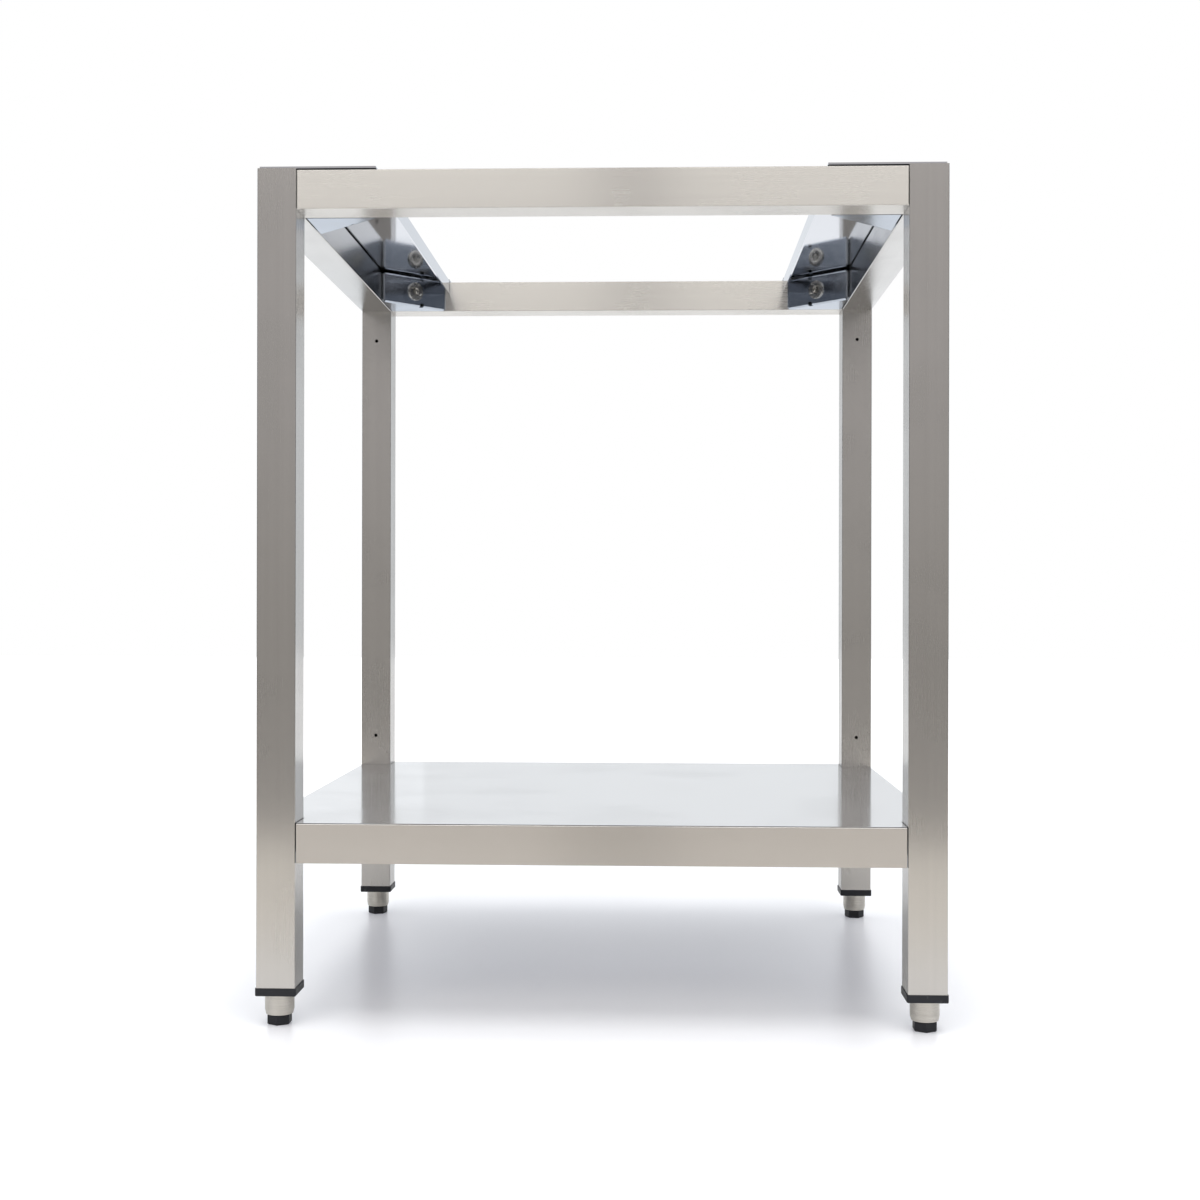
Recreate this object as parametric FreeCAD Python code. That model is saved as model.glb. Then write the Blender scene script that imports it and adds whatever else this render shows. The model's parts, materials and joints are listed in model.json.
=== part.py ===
import FreeCAD, Part
import math
import os

# Stainless steel equipment stand. Millimetres, +Z up, floor at z = 0.
# X runs across the front, +Y runs to the rear, origin on the floor under the middle.

# Overall sizes
stand_width = 700.0
stand_depth = 630.0
leg_length = 835.0

# Square tube of legs and rails
tube_side = 40.0
tube_wall = 1.5
tube_corner = 1.0

# Top rails
rail_drop = 1.8
rail_end_gap = 0.2

# Top plates, each with a lip folded down along its inner edge
plate_width = 119.0
plate_inset = 2.0
plate_thickness = 2.0
plate_bend = 1.0
lip_height = 20.0
lip_end_gap = 2.0

# Lower shelf, one folded sheet
shelf_level = 168.5
shelf_skirt = 41.0
shelf_sheet = 1.2
shelf_bend = 0.8
shelf_leg_gap = 1.0

# Stiffener under the shelf
stiffener_width = 80.0
stiffener_depth = 25.0
stiffener_flange = 15.0
stiffener_sheet = 1.2
stiffener_end_gap = 0.2

# Corner braces
brace_sheet = 2.0
brace_bend = 0.8
brace_flange = 25.0
brace_slit = 2.0
top_brace_along_cross_rail = 79.0
top_brace_along_side_rail = 79.0
shelf_brace_reach = 30.0
shelf_brace_inset = 4.0
notch_width = 6.0
notch_height = 5.0
notch_offset = 11.0

# Leg screws with their washers and anchor blocks
screw_diameter = 8.0
screw_hole_gap = 0.5
screw_head_diameter = 13.0
screw_head_height = 8.0
screw_head_edge = 0.6
socket_across_flats = 6.0
socket_depth = 4.0
thread_gap = 0.05
washer_diameter = 24.0
washer_thickness = 2.0
anchor_side = 24.0
anchor_height = 30.0
anchor_relief = 0.5

# Accessory holes in the leg faces that look along the depth
accessory_hole = 4.5
accessory_below_top = 82.5
accessory_above_shelf = 40.0

# Leg plugs
plug_flange = 8.0
plug_overhang = 1.0
plug_edge = 1.0
plug_fit = 0.15
plug_wall = 3.3
plug_roof = 5.0

# Levelling feet
pad_across_flats = 22.5
pad_height = 10.5
pad_edge = 1.0
pad_floor = 3.0
seat_gap = 0.2
sleeve_showing = 21.3
sleeve_inside = 26.0
sleeve_wall = 1.2
sleeve_base = 2.0
sleeve_taper = 1.2
sleeve_taper_height = 5.0
sleeve_top_gap = 2.0
stem_diameter = 12.0
stem_spare = 2.0
stem_hole_gap = 0.5
running_gap = 0.05
insert_across_flats = 19.0
insert_height = 10.0
insert_fit = 0.1
stem_pitch = 1.75
turns_in = 8.0
turns_out = 9.0

# Corners with their signs along X and Y, and how far each pad is turned
CORNERS = {
    "front_left": (-1, -1),
    "front_right": (1, -1),
    "rear_left": (-1, 1),
    "rear_right": (1, 1),
}
PAD_TURNS = {
    "front_left": 30.0,
    "front_right": 30.0,
    "rear_left": 15.0,
    "rear_right": 50.0,
}

# Levels and places worked out from the sizes
sleeve_bottom = pad_height + seat_gap
plug_bottom = sleeve_bottom + sleeve_showing
leg_bottom = plug_bottom + plug_flange
leg_top = leg_bottom + leg_length
rail_top = leg_top - rail_drop
rail_bottom = rail_top - tube_side
shelf_top = leg_bottom + shelf_level
shelf_under = shelf_top - shelf_sheet
skirt_bottom = shelf_top - shelf_skirt
inner_x = stand_width / 2 - tube_side
inner_y = stand_depth / 2 - tube_side
tube_inside = tube_side - 2 * tube_wall
tube_inner_corner = max(tube_corner - tube_wall, 0.0)

# Radii and levels of the levelling feet
sleeve_radius = tube_inside / 2 - plug_fit - plug_wall - running_gap
sleeve_top = plug_bottom + sleeve_inside
bore_top = sleeve_top + turns_in * stem_pitch + sleeve_top_gap
insert_top = bore_top + insert_height
plug_top = insert_top + plug_roof
stem_top = insert_top + turns_out * stem_pitch + stem_spare

ROOT2 = math.sqrt(2.0)
ORIGIN = FreeCAD.Vector(0, 0, 0)
ALONG_X = FreeCAD.Vector(1, 0, 0)
ALONG_Y = FreeCAD.Vector(0, 1, 0)
UP = FreeCAD.Vector(0, 0, 1)

# Brace walls as seen from a leg's inner edge: direction square to the wall, distance of its
# outer face and level of the screw
top_wall_angle = math.atan2(top_brace_along_cross_rail, top_brace_along_side_rail)
top_screw_direction = FreeCAD.Vector(math.cos(top_wall_angle), math.sin(top_wall_angle), 0)
top_wall_distance = top_brace_along_cross_rail * math.cos(top_wall_angle)
top_screw_line = (top_screw_direction, top_wall_distance, (rail_bottom + rail_top) / 2)
shelf_brace_top = shelf_under - shelf_bend
shelf_brace_bottom = skirt_bottom + shelf_brace_inset
shelf_screw_direction = FreeCAD.Vector(1 / ROOT2, 1 / ROOT2, 0)
shelf_screw_line = (shelf_screw_direction, shelf_brace_reach / ROOT2, (shelf_brace_bottom + shelf_brace_top) / 2)


def vector(x, y, z=0.0):
    return FreeCAD.Vector(x, y, z)


def box(x0, x1, y0, y1, z0, z1):
    return Part.makeBox(x1 - x0, y1 - y0, z1 - z0, vector(x0, y0, z0))


def cylinder(radius, z0, z1):
    return Part.makeCylinder(radius, z1 - z0, vector(0, 0, z0), UP)


def outlined_face(corners):
    return Part.Face(Part.makePolygon(corners + corners[:1]))


def prism(points, z0, z1):
    """Upright prism over a plan outline of (x, y) points."""
    return outlined_face([vector(x, y, z0) for x, y in points]).extrude(UP * (z1 - z0))


def turned(half_section):
    """Round body about the Z axis from (radius, z) points."""
    return outlined_face([vector(radius, 0, z) for radius, z in half_section]).revolve(ORIGIN, UP, 360)


def hexagon(across_flats, z0, z1, turn=0.0):
    """Upright hexagonal prism centred on the Z axis."""
    radius = across_flats / math.sqrt(3.0)
    angles = [math.radians(turn + 60.0 * step) for step in range(6)]
    return prism([(radius * math.cos(a), radius * math.sin(a)) for a in angles], z0, z1)


def runs_along(edge, direction):
    return abs(edge.tangentAt(edge.FirstParameter).dot(direction)) > 0.9


def rounded(shape, radius, edges):
    """Shape with the given edges rounded, left sharp for a zero radius."""
    return shape.makeFillet(radius, edges) if radius > 0.0 else shape


def rounded_block(half, radius, z0, z1):
    """Upright square block centred on the Z axis with rounded vertical edges."""
    block = box(-half, half, -half, half, z0, z1)
    return rounded(block, radius, [edge for edge in block.Edges if runs_along(edge, UP)])


def square_tube(length):
    """Square tube along +Z from the origin, centred on the Z axis."""
    outside = rounded_block(tube_side / 2, tube_corner, 0, length)
    return outside.cut(rounded_block(tube_inside / 2, tube_inner_corner, 0, length))


def laid_along(shape, direction, distance, level):
    """Lay a piece drawn along +Z on a level line through a leg's inner edge."""
    laid = shape.copy()
    laid.Placement = FreeCAD.Placement(direction * distance + UP * level, FreeCAD.Rotation(UP, direction))
    return laid


def in_corner(shape, corner):
    """Move a piece drawn at a leg's inner edge, +X and +Y pointing inward, to a named corner."""
    side_x, side_y = CORNERS[corner]
    placed = shape.copy()
    if side_x > 0:
        placed = placed.mirror(ORIGIN, ALONG_X)
    if side_y > 0:
        placed = placed.mirror(ORIGIN, ALONG_Y)
    placed.translate(vector(side_x * inner_x, side_y * inner_y))
    return placed


def under_leg(shape, corner):
    """Move a piece drawn on the Z axis to the axis of a leg."""
    side_x, side_y = CORNERS[corner]
    placed = shape.copy()
    placed.translate(vector(side_x * (inner_x + tube_side / 2), side_y * (inner_y + tube_side / 2)))
    return placed


def screw_start(direction):
    """Where a screw begins on its line, at the back of its anchor block inside the leg tube."""
    return -(2 * tube_wall + anchor_side) / (direction.x + direction.y)


def screw_drill(screw_line):
    """Clearance for a screw from inside the leg tube to past the brace wall."""
    direction, distance, level = screw_line
    drill = cylinder(screw_diameter / 2 + screw_hole_gap, screw_start(direction), distance + brace_sheet)
    return laid_along(drill, direction, 0, level)


def leg():
    """Leg tube with accessory holes in one face and screw holes through its inner edge."""
    tube = square_tube(leg_length)
    tube.translate(vector(-tube_side / 2, -tube_side / 2, leg_bottom))
    for level in (leg_top - accessory_below_top, shelf_top + accessory_above_shelf):
        place = vector(-tube_side / 2, -1.5 * tube_wall, level)
        tube = tube.cut(Part.makeCylinder(accessory_hole / 2, 2 * tube_wall, place, ALONG_Y))
    for screw_line in (top_screw_line, shelf_screw_line):
        tube = tube.cut(screw_drill(screw_line))
    return tube


def cross_rail(side_y):
    """Front or rear rail, between two legs and flush with their faces."""
    length = 2 * (inner_x - rail_end_gap)
    rail = square_tube(length)
    rail.rotate(ORIGIN, ALONG_Y, 90)
    rail.translate(vector(-length / 2, side_y * (inner_y + tube_side / 2), (rail_top + rail_bottom) / 2))
    return notched_for_screws(rail)


def side_rail(side_x):
    """Left or right rail, between a front and a rear leg."""
    length = 2 * (inner_y - rail_end_gap)
    rail = square_tube(length)
    rail.rotate(ORIGIN, ALONG_X, -90)
    rail.translate(vector(side_x * (inner_x + tube_side / 2), -length / 2, (rail_top + rail_bottom) / 2))
    return notched_for_screws(rail)


def notched_for_screws(rail):
    """Rail whose ends leave room for the screws that come out of the legs' inner edges."""
    drill = screw_drill(top_screw_line)
    for corner in CORNERS:
        rail = rail.cut(in_corner(drill, corner))
    return rail


def upright_edges(shape, places):
    """Vertical edges of a shape that stand on the given plan points."""
    found = []
    for edge in shape.Edges:
        middle = edge.CenterOfMass
        near = [math.hypot(middle.x - x, middle.y - y) < 0.01 for x, y in places]
        if runs_along(edge, UP) and any(near):
            found.append(edge)
    return found


def bent_strip(reach_x, reach_y, z0, z1):
    """Brace strip: a slanting wall, its ends folded back along the faces y = 0 and x = 0."""
    sheet = brace_sheet
    back = reach_x * reach_y - sheet * math.hypot(reach_x, reach_y)
    near_x = (back - sheet * reach_x) / reach_y
    near_y = (back - sheet * reach_y) / reach_x
    outline = [
        (reach_x - brace_flange, 0),
        (reach_x, 0),
        (0, reach_y),
        (0, reach_y - brace_flange),
        (sheet, reach_y - brace_flange),
        (sheet, near_y),
        (near_x, sheet),
        (reach_x - brace_flange, sheet),
    ]
    strip = prism(outline, z0, z1)
    strip = rounded(strip, brace_bend, upright_edges(strip, [(near_x, sheet), (sheet, near_y)]))
    return rounded(strip, brace_bend + sheet, upright_edges(strip, [(reach_x, 0), (0, reach_y)]))


def nosed_block(depth, y0, y1, z0, z1, radius):
    """Block whose upper and lower edges at x = depth are rounded."""
    block = box(0, depth, y0, y1, z0, z1)
    nose = [edge for edge in block.Edges if runs_along(edge, ALONG_Y) and edge.CenterOfMass.x > depth / 2]
    return rounded(block, radius, nose)


def top_brace():
    """Brace of the top frame, its wall folded over above and below to level flanges."""
    reach_x = top_brace_along_cross_rail
    reach_y = top_brace_along_side_rail
    sheet = brace_sheet
    bend = brace_bend + sheet
    y0 = bend / math.tan((math.pi / 2 - top_wall_angle) / 2) - reach_x * math.sin(top_wall_angle)
    y1 = reach_y * math.cos(top_wall_angle) - bend / math.tan(top_wall_angle / 2)
    fold = nosed_block(top_wall_distance, y0, y1, rail_bottom, rail_top, bend)
    hollow = nosed_block(top_wall_distance - sheet, y0, y1, rail_bottom + sheet, rail_top - sheet, brace_bend)
    fold = fold.cut(hollow)
    fold.rotate(ORIGIN, UP, math.degrees(top_wall_angle))
    fold = fold.common(box(brace_slit, reach_x, brace_slit, reach_y, rail_bottom, rail_top))
    strip = bent_strip(reach_x, reach_y, rail_bottom + bend, rail_top - bend)
    brace = strip.fuse(fold).removeSplitter()
    for z0 in (rail_bottom, rail_top - notch_height):
        notch = box(-2 * sheet, sheet, -notch_width / 2, notch_width / 2, z0, z0 + notch_height)
        notch.translate(vector(top_wall_distance, -notch_offset))
        notch.rotate(ORIGIN, UP, math.degrees(top_wall_angle))
        brace = brace.cut(notch)
    return brace.cut(screw_drill(top_screw_line))


def shelf_brace():
    """Brace under the shelf, its folded ends on the inside of two skirts."""
    offset = tube_side - shelf_sheet
    reach = shelf_brace_reach + 2 * offset
    brace = bent_strip(reach, reach, shelf_brace_bottom, shelf_brace_top)
    brace.translate(vector(-offset, -offset))
    return brace.cut(screw_drill(shelf_screw_line))


def anchor_block(screw_line):
    """Tapped block in the inner corner of a leg tube."""
    direction, distance, level = screw_line
    near = tube_inner_corner + anchor_relief
    outline = [(0, -anchor_side), (0, -near), (-near, 0), (-anchor_side, 0)]
    points = [(x - tube_wall, y - tube_wall) for x, y in outline]
    block = prism(points, level - anchor_height / 2, level + anchor_height / 2)
    drill = cylinder(screw_diameter / 2 + thread_gap, -2 * anchor_side, anchor_side)
    return block.cut(laid_along(drill, direction, 0, level))


def screw(screw_line):
    """Socket head screw from the back of the anchor block to its head on the washer."""
    direction, distance, level = screw_line
    seat = distance + washer_thickness
    head_top = seat + screw_head_height
    head = cylinder(screw_head_diameter / 2, seat, head_top)
    rim = [edge for edge in head.Edges if edge.BoundBox.ZMin > (seat + head_top) / 2]
    head = head.makeChamfer(screw_head_edge, rim)
    head = head.cut(hexagon(socket_across_flats, head_top - socket_depth, head_top))
    shank = cylinder(screw_diameter / 2, screw_start(direction), seat)
    return laid_along(shank.fuse(head).removeSplitter(), direction, 0, level)


def washer(screw_line):
    ring = cylinder(washer_diameter / 2, 0, washer_thickness)
    ring = ring.cut(cylinder(screw_diameter / 2 + screw_hole_gap, 0, washer_thickness))
    return laid_along(ring, *screw_line)


def top_plate(side_x):
    """Bearer plate on the leg tops, its inner edge folded down between the cross rails."""
    outer = stand_width / 2 - plate_inset
    inner = outer - plate_width
    half_depth = stand_depth / 2 - plate_inset
    top = leg_top + plate_thickness
    bend = plate_bend + plate_thickness
    lip_place = inner_x - inner - plate_thickness
    brace_depth = top_brace_along_side_rail * (1 - lip_place / top_brace_along_cross_rail)
    half_lip = inner_y - max(brace_depth, 0.0) - lip_end_gap
    plate = box(inner + bend, outer, -half_depth, half_depth, leg_top, top)
    for y0, y1 in ((-half_depth, -half_lip), (half_lip, half_depth)):
        plate = plate.fuse(box(inner, inner + bend, y0, y1, leg_top, top))
    lip = box(inner, inner + plate_thickness, -half_lip, half_lip, top - lip_height, top - bend)
    centre = vector(inner + bend, -half_lip, top - bend)
    fold = box(inner, inner + bend, -half_lip, half_lip, top - bend, top)
    fold = fold.common(Part.makeCylinder(bend, 2 * half_lip, centre, ALONG_Y))
    fold = fold.cut(Part.makeCylinder(plate_bend, 2 * half_lip, centre, ALONG_Y))
    plate = plate.fuse(lip.fuse(fold)).removeSplitter()
    return plate if side_x > 0 else plate.mirror(ORIGIN, ALONG_X)


def crowned_block(half_x, half_y, radius, z0, z1):
    """Block whose four upper edges are rounded."""
    block = box(-half_x, half_x, -half_y, half_y, z0, z1)
    return rounded(block, radius, [edge for edge in block.Edges if edge.BoundBox.ZMin > (z0 + z1) / 2])


def shelf():
    """Shelf sheet with a skirt on each side and a notch round each leg."""
    half_x = stand_width / 2
    half_y = stand_depth / 2
    tray = crowned_block(half_x, half_y, shelf_bend + shelf_sheet, skirt_bottom, shelf_top)
    tray = tray.cut(
        crowned_block(half_x - shelf_sheet, half_y - shelf_sheet, shelf_bend, skirt_bottom, shelf_under)
    )
    clear = tube_side + shelf_leg_gap
    notch = box(-clear, clear, -clear, clear, skirt_bottom, shelf_top)
    for side_x, side_y in CORNERS.values():
        cutter = notch.copy()
        cutter.translate(vector(side_x * half_x, side_y * half_y))
        tray = tray.cut(cutter)
    return tray


def shelf_stiffener():
    """Hat section across the width, its flanges against the underside of the shelf."""
    half = stiffener_width / 2
    sheet = stiffener_sheet
    brim = half + stiffener_flange
    profile = [
        (-brim, 0),
        (sheet - half, 0),
        (sheet - half, sheet - stiffener_depth),
        (half - sheet, sheet - stiffener_depth),
        (half - sheet, 0),
        (brim, 0),
        (brim, -sheet),
        (half, -sheet),
        (half, -stiffener_depth),
        (-half, -stiffener_depth),
        (-half, -sheet),
        (-brim, -sheet),
    ]
    half_length = stand_width / 2 - shelf_sheet - shelf_bend - stiffener_end_gap
    end = outlined_face([vector(-half_length, y, shelf_under + z) for y, z in profile])
    return end.extrude(ALONG_X * (2 * half_length))


def leg_plug():
    """Plug in the leg's lower end, with the sleeve's bore and the pocket of the insert."""
    flange = rounded_block(tube_side / 2 + plug_overhang, tube_corner + plug_overhang, plug_bottom, leg_bottom)
    lower = [edge for edge in flange.Edges if edge.BoundBox.ZMax < (plug_bottom + leg_bottom) / 2]
    flange = rounded(flange, plug_edge, lower)
    body = rounded_block(tube_inside / 2 - plug_fit, tube_inner_corner, leg_bottom, plug_top)
    plug = flange.fuse(body).removeSplitter()
    plug = plug.cut(cylinder(sleeve_radius + running_gap, plug_bottom, bore_top))
    plug = plug.cut(hexagon(insert_across_flats + 2 * insert_fit, bore_top, insert_top))
    return plug.cut(cylinder(stem_diameter / 2 + stem_hole_gap, insert_top, plug_top))


def thread_insert():
    body = hexagon(insert_across_flats, bore_top, insert_top)
    return body.cut(cylinder(stem_diameter / 2 + running_gap, bore_top, insert_top))


def foot_sleeve():
    """Round sleeve, tapered at its lower end, with a base that the stem passes through."""
    bore = sleeve_radius - sleeve_wall
    taper_top = sleeve_bottom + sleeve_taper_height
    base_top = sleeve_bottom + sleeve_base
    hole = stem_diameter / 2 + stem_hole_gap
    half_section = [
        (hole, sleeve_bottom),
        (sleeve_radius - sleeve_taper, sleeve_bottom),
        (sleeve_radius, taper_top),
        (sleeve_radius, sleeve_top),
        (bore, sleeve_top),
        (bore, taper_top),
        (bore - sleeve_taper, base_top),
        (hole, base_top),
    ]
    return turned(half_section)


def foot_pad(turn):
    """Hexagonal pad with broken edges and a blind hole for the stem."""
    pad = hexagon(pad_across_flats, 0, pad_height, turn)
    level = [edge for edge in pad.Edges if not runs_along(edge, UP)]
    pad = pad.makeChamfer(pad_edge, level)
    return pad.cut(cylinder(stem_diameter / 2 + thread_gap, pad_floor, pad_height))


def foot_stem():
    return cylinder(stem_diameter / 2, pad_floor, stem_top)


def export(node, shape):
    shape.exportStep("parts/" + node + ".step")


def export_in_corners(node, shape, place):
    """One node holding the same piece at every corner."""
    export(node, Part.makeCompound([place(shape, corner) for corner in CORNERS]))


os.makedirs("parts", exist_ok=True)

export("front_rail", cross_rail(-1))
export("rear_rail", cross_rail(1))
export("left_rail", side_rail(-1))
export("right_rail", side_rail(1))
export("left_top_plate", top_plate(-1))
export("right_top_plate", top_plate(1))
export("shelf", shelf())
export("shelf_stiffener", shelf_stiffener())

for corner in CORNERS:
    export(corner + "_leg", in_corner(leg(), corner))
    export(corner + "_top_brace", in_corner(top_brace(), corner))
    export(corner + "_shelf_brace", in_corner(shelf_brace(), corner))
    export(corner + "_leg_plug", under_leg(leg_plug(), corner))
    export(corner + "_foot_sleeve", under_leg(foot_sleeve(), corner))
    export(corner + "_foot_pad", under_leg(foot_pad(PAD_TURNS[corner]), corner))
    export(corner + "_foot_stem", under_leg(foot_stem(), corner))

export_in_corners("thread_inserts", thread_insert(), under_leg)
for place, screw_line in (("top", top_screw_line), ("shelf", shelf_screw_line)):
    export_in_corners(place + "_anchor_blocks", anchor_block(screw_line), in_corner)
    export_in_corners(place + "_screws", screw(screw_line), in_corner)
    export_in_corners(place + "_washers", washer(screw_line), in_corner)
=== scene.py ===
import json
import math
from functools import partial

import bpy
from bpy.props import FloatProperty, FloatVectorProperty, IntProperty, PointerProperty
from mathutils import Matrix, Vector

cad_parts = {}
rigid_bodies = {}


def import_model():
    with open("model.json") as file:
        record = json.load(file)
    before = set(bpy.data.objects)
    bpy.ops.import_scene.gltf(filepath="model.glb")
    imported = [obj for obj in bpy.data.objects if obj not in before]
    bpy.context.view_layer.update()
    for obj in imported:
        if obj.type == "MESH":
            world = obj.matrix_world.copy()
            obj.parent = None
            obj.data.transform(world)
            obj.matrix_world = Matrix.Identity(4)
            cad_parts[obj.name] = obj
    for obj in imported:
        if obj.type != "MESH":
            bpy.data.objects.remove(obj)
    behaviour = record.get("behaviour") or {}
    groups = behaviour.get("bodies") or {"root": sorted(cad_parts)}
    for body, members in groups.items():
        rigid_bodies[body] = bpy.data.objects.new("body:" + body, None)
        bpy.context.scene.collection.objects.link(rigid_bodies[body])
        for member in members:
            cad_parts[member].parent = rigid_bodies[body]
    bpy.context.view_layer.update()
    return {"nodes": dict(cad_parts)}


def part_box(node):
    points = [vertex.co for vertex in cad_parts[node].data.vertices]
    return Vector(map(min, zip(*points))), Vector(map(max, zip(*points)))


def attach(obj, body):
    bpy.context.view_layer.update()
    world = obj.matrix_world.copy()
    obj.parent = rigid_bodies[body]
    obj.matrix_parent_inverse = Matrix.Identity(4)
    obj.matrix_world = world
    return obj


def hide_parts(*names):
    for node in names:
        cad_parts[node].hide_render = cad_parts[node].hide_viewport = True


bl_info = {
    "name": "Steamer Stand",
    "version": (1, 0, 0),
    "blender": (4, 5, 0),
    "location": "View3D > Sidebar > Stand",
    "description": "Finishes, fasteners and studio of a stainless steel stand",
    "category": "Object",
}

for leftover in list(bpy.data.objects):
    bpy.data.objects.remove(leftover)

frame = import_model()

CORNERS = {"front_left": (-1, -1), "front_right": (1, -1), "rear_left": (-1, 1), "rear_right": (1, 1)}
X, Y, Z = range(3)
FAR_AWAY = 10.0
PLAIN = (1.0, 1.0, 1.0)
WHITE = (1.0, 1.0, 1.0, 1.0)
BLACK = (0.0, 0.0, 0.0, 1.0)
VECTOR = "NodeSocketVector"
NUMBER = "NodeSocketFloat"


def middle_of(node):
    """Middle of a node's box."""
    low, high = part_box(node)
    return (low + high) / 2


def extent_of(node):
    """Size of a node's box."""
    low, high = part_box(node)
    return high - low


# Places read from the frame, in metres
LEG_AXIS = middle_of("rear_right_leg")
TUBE_HALF = extent_of("rear_right_leg").x / 2
RAIL_LEVEL = middle_of("front_rail").z
SHELF_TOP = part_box("shelf")[1].z

# Soft borders and bends, in metres
GAP_BLUR = 0.0003
BEND_START = 0.0002
BEND_END = 0.002
BEND_BLUR = 0.0001

# Brush lines: how far they stray from their axis, and the turn from along to across
GRAIN_SKEW = (0.03, 0.02, 0.01)
QUARTER_TURN = 0.25

# How much grain, smudges, scratches, rubbed edges and skirts change the roughness or the relief
GRAIN_SPREAD = 0.02
SMUDGE_DULLING = 0.04
SHEET_SMUDGE_DULLING = 0.03
SCRATCH_CUT = 0.04
SHEET_SCRATCH_CUT = 0.2
RUBBED_GLOSS = 0.06
SKIRT_DULLING = 0.11

# Limits of masks: a whole one, and the part of a noise where most of it lies
WHOLE = (0.0, 1.0)
NOISE_CORE = (0.3, 0.7)

# Noises of the shared effects
FINE_SHARE = 0.6
FINER_SHARE = 0.4
SMUDGE_RANGE = (0.42, 0.70)
SCRATCH_RANGE = (0.715, 0.735)
SCRATCH_TURN = (0.35, 0.25, 0.4)
RUBBED_RANGE = (0.35, 0.6)

# Steps and shares of the fasteners
RING_STEPS = 96
EDGE_STEPS = 3
SHANK_STEPS = 48
SOCKET_SIDES = 6
RIDGE_FOOT = 1.6
RIDGE_TOP = 0.14
SOCKET_REACH = 0.6
SHARP_ANGLE = math.radians(30)

# Where the floor changes: painted shade towards the camera, behind the stand, and round it
FRONT_SHADE_ZONE = (-1.0, -0.4)
REAR_ZONE = (0.7, 2.5)
WHITE_RING = (0.9, 1.6)

# Panels that only the steel shows: ends of their lines on the floor, and levels
CAMERA_STAND = {"start": (-0.13, -2.1), "end": (0.09, -2.1), "low": -0.1, "high": 0.45}
REAR_SOFTBOX = {"start": (-2.4, 4.0), "end": (-0.8, 4.0), "low": 0.0, "high": 1.3}
CARD_FOOT = -1.0
CARD_FADE = (0.3, 1.3)
SIDE_FOOT = -0.2
SOFTBOX_STEP = 0.05


def tone_setting(name, use, default):
    """Colour that a user may change."""
    return FloatVectorProperty(name=name, description=use, subtype="COLOR", default=default)


def length_setting(name, use, default):
    """Length that a user may change."""
    return FloatProperty(name=name, description=use, unit="LENGTH", default=default)


def place_setting(name, use, default):
    """Place that a user may change."""
    return FloatVectorProperty(name=name, description=use, subtype="TRANSLATION", default=default)


class StandSteel(bpy.types.PropertyGroup):
    """Tones and grain of the stainless steel"""

    leg_tone: tone_setting("Leg Tone", "Colour of the brushed legs", (0.575, 0.555, 0.53))
    rail_tone: tone_setting("Rail Tone", "Colour of the brushed rails", (0.68, 0.66, 0.63))
    plate_tone: tone_setting("Plate Tone", "Colour of the bright plates", (0.64, 0.645, 0.67))
    shelf_tone: tone_setting("Shelf Tone", "Colour of the shelf top", (0.69, 0.69, 0.705))
    # Skirt Tone: the skirts are darker and warmer than the top of the same sheet, painted shade
    skirt_tone: tone_setting("Skirt Tone", "Colour of the shelf skirts", (0.625, 0.592, 0.555))
    brace_tone: tone_setting("Brace Tone", "Colour of the plain braces", (0.535, 0.58, 0.65))
    fastener_tone: tone_setting("Fastener Tone", "Colour of screws and washers", (0.62, 0.60, 0.56))
    sleeve_tone: tone_setting("Sleeve Tone", "Colour of the foot sleeves", (0.56, 0.535, 0.495))
    glance_tone: tone_setting("Glance Tone", "Tint of the steel seen at a flat angle", (0.95, 0.97, 1.0))
    # Seam Tone: colour of the painted shade in the joints and of the painted dark reflection along the shelf
    # bends
    seam_tone: tone_setting("Seam Tone", "Colour of dirt in joints and bends", (0.06, 0.058, 0.055))
    # Seam Width: width of the painted shade at the rail ends
    seam_width: length_setting("Seam Width", "Width of the dark rail ends", 0.0014)
    # Gap Depth: how far the painted shade reaches into the gaps at the shelf
    gap_depth: length_setting("Gap Depth", "How far dirt reaches into the gaps at the shelf", 0.007)
    # Bend Line: width of the painted dark reflection along the shelf bends
    bend_line: length_setting("Bend Line", "Width of the dark line along the shelf bends", 0.0008)
    grain_pitch: length_setting("Grain Pitch", "Spacing of the brush lines", 0.00055)
    grain_length: length_setting("Grain Length", "Length of the brush lines", 0.16)
    grain_depth: length_setting("Grain Depth", "Depth of the brush lines", 0.0000016)
    corner_radius: length_setting("Corner Radius", "Rounding of the tube edges", 0.001)


class StandFasteners(bpy.types.PropertyGroup):
    """Threads and edges of the fasteners"""

    thread_pitch: length_setting("Thread Pitch", "Rise of the screw thread in a turn", 0.00125)
    thread_depth: length_setting("Thread Depth", "Height of the thread ridge", 0.0007)
    thread_steps: IntProperty(name="Thread Steps", description="Points in one turn of the thread", default=24)
    washer_edge: length_setting("Washer Edge", "Rounding of the washer edges", 0.0003)
    head_edge: length_setting("Head Edge", "Chamfer of the screw heads", 0.0006)
    knurl_depth: length_setting("Knurl Depth", "Depth of the grooves round the heads", 0.00018)
    knurl_count: IntProperty(name="Knurl Count", description="Grooves round a screw head", default=48)


class StandFeet(bpy.types.PropertyGroup):
    """Finish of the plugs, pads and sleeves"""

    plastic_tone: tone_setting("Plastic Tone", "Colour of plugs and pads", (0.0135, 0.0148, 0.0195))
    scuff_tone: tone_setting("Scuff Tone", "Colour of the scuff marks", (0.06, 0.06, 0.06))
    texture_size: length_setting("Texture Size", "Size of the moulded texture", 0.0004)
    ring_pitch: length_setting("Ring Pitch", "Spacing of the turned rings", 0.0003)


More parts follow.
